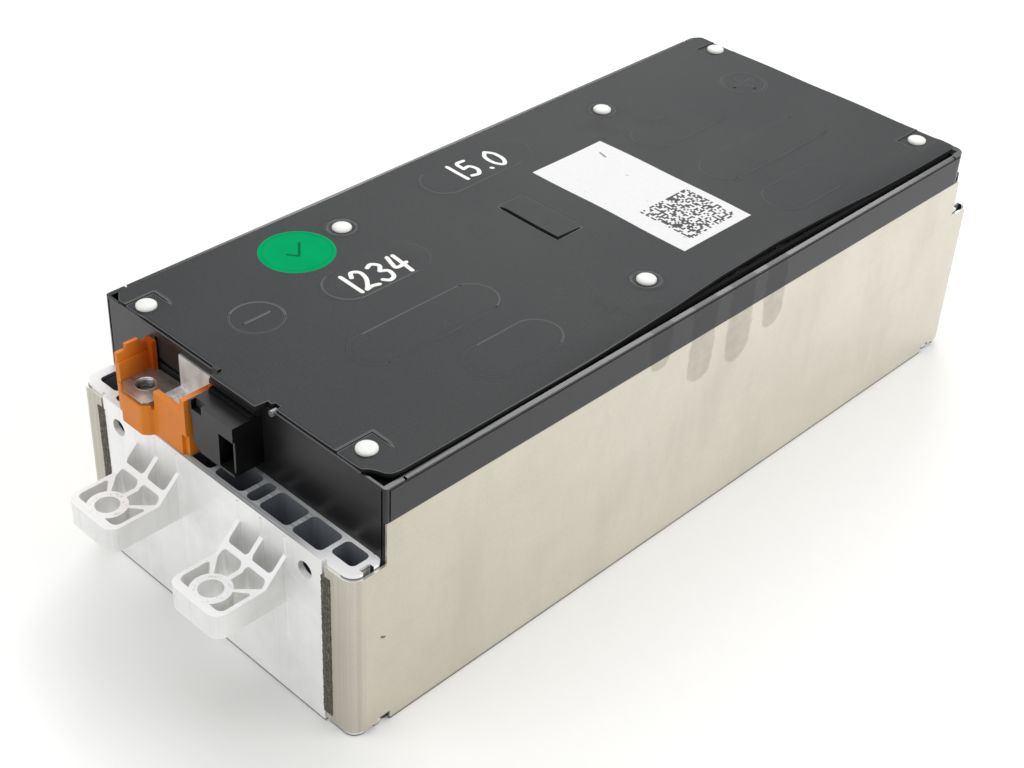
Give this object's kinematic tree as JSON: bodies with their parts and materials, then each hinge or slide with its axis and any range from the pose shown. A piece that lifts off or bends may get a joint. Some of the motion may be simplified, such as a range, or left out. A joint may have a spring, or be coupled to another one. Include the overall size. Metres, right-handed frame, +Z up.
{
  "type": "battery module",
  "caption": "Long prismatic-cell battery module with hollow metal end plates, mounting ears, thin folded side plates, a dark lid and a shrouded screw terminal at each end.",
  "frame": {"origin": "middle of the underside, in the middle of the length over the ears", "axes": "+Z up through the lid, +Y along the length from the connector end to the other end, +X to the right seen from the connector end"},
  "size_m": [0.151, 0.428, 0.1078],
  "materials": {
    "cell_can": "satin drawn can",
    "foam": "matt closed-cell foam",
    "panel": "moulded, matt",
    "film": "thin blue film",
    "end_plate": "as extruded, milled at the ears",
    "side_plate": "fine rolled grain, warm tint",
    "weld": "rough dark weld",
    "carrier": "moulded",
    "busbar": "rolled strip",
    "flex": "polyimide film",
    "sensor": "moulded bead",
    "connector": "moulded, fine grain",
    "pins": "plated pin",
    "frame": "smooth black moulding",
    "shroud": "moulded orange",
    "nut": "zinc plated",
    "terminal_plate": "nickel plated copper",
    "cover": "thermoformed sheet, matt",
    "rivet": "moulded white",
    "pin": "bright pin",
    "label": "paper label",
    "sticker": "coated paper"
  },
  "bodies": {
    "root": {"cell_1": "cell_can", "cell_2": "cell_can", "cell_3": "cell_can", "cell_4": "cell_can", "cell_5": "cell_can", "cell_6": "cell_can", "cell_7": "cell_can", "cell_8": "cell_can", "cell_9": "cell_can", "cell_10": "cell_can", "cell_11": "cell_can", "cell_12": "cell_can", "foam_pad_1": "foam", "foam_pad_2": "foam", "foam_pad_3": "foam", "foam_pad_4": "foam", "foam_pad_5": "foam", "foam_pad_6": "foam", "foam_pad_7": "foam", "foam_pad_8": "foam", "foam_pad_9": "foam", "foam_pad_10": "foam", "foam_pad_11": "foam", "front_insulating_panel": "panel", "rear_insulating_panel": "panel", "left_film": "film", "right_film": "film", "bottom_film": "film", "front_end_plate": "end_plate", "rear_end_plate": "end_plate", "left_side_plate": "side_plate", "right_side_plate": "side_plate", "weld_beads": "weld", "busbar_carrier": "carrier", "negative_busbar": "busbar", "link_busbar_1_2": "busbar", "link_busbar_2_3": "busbar", "link_busbar_3_4": "busbar", "positive_busbar": "busbar", "sensing_flex": "flex", "front_thermistor": "sensor", "rear_thermistor": "sensor", "connector_housing": "connector", "connector_pins": "pins", "top_frame": "frame", "front_terminal_shroud": "shroud", "rear_terminal_shroud": "shroud", "negative_terminal_nut": "nut", "positive_terminal_nut": "nut", "negative_terminal_plate": "terminal_plate", "positive_terminal_plate": "terminal_plate", "top_cover": "cover", "cover_rivets": "rivet", "cover_pin": "pin", "cover_label": "label", "inspection_sticker": "sticker"}
  },
  "joints": []
}
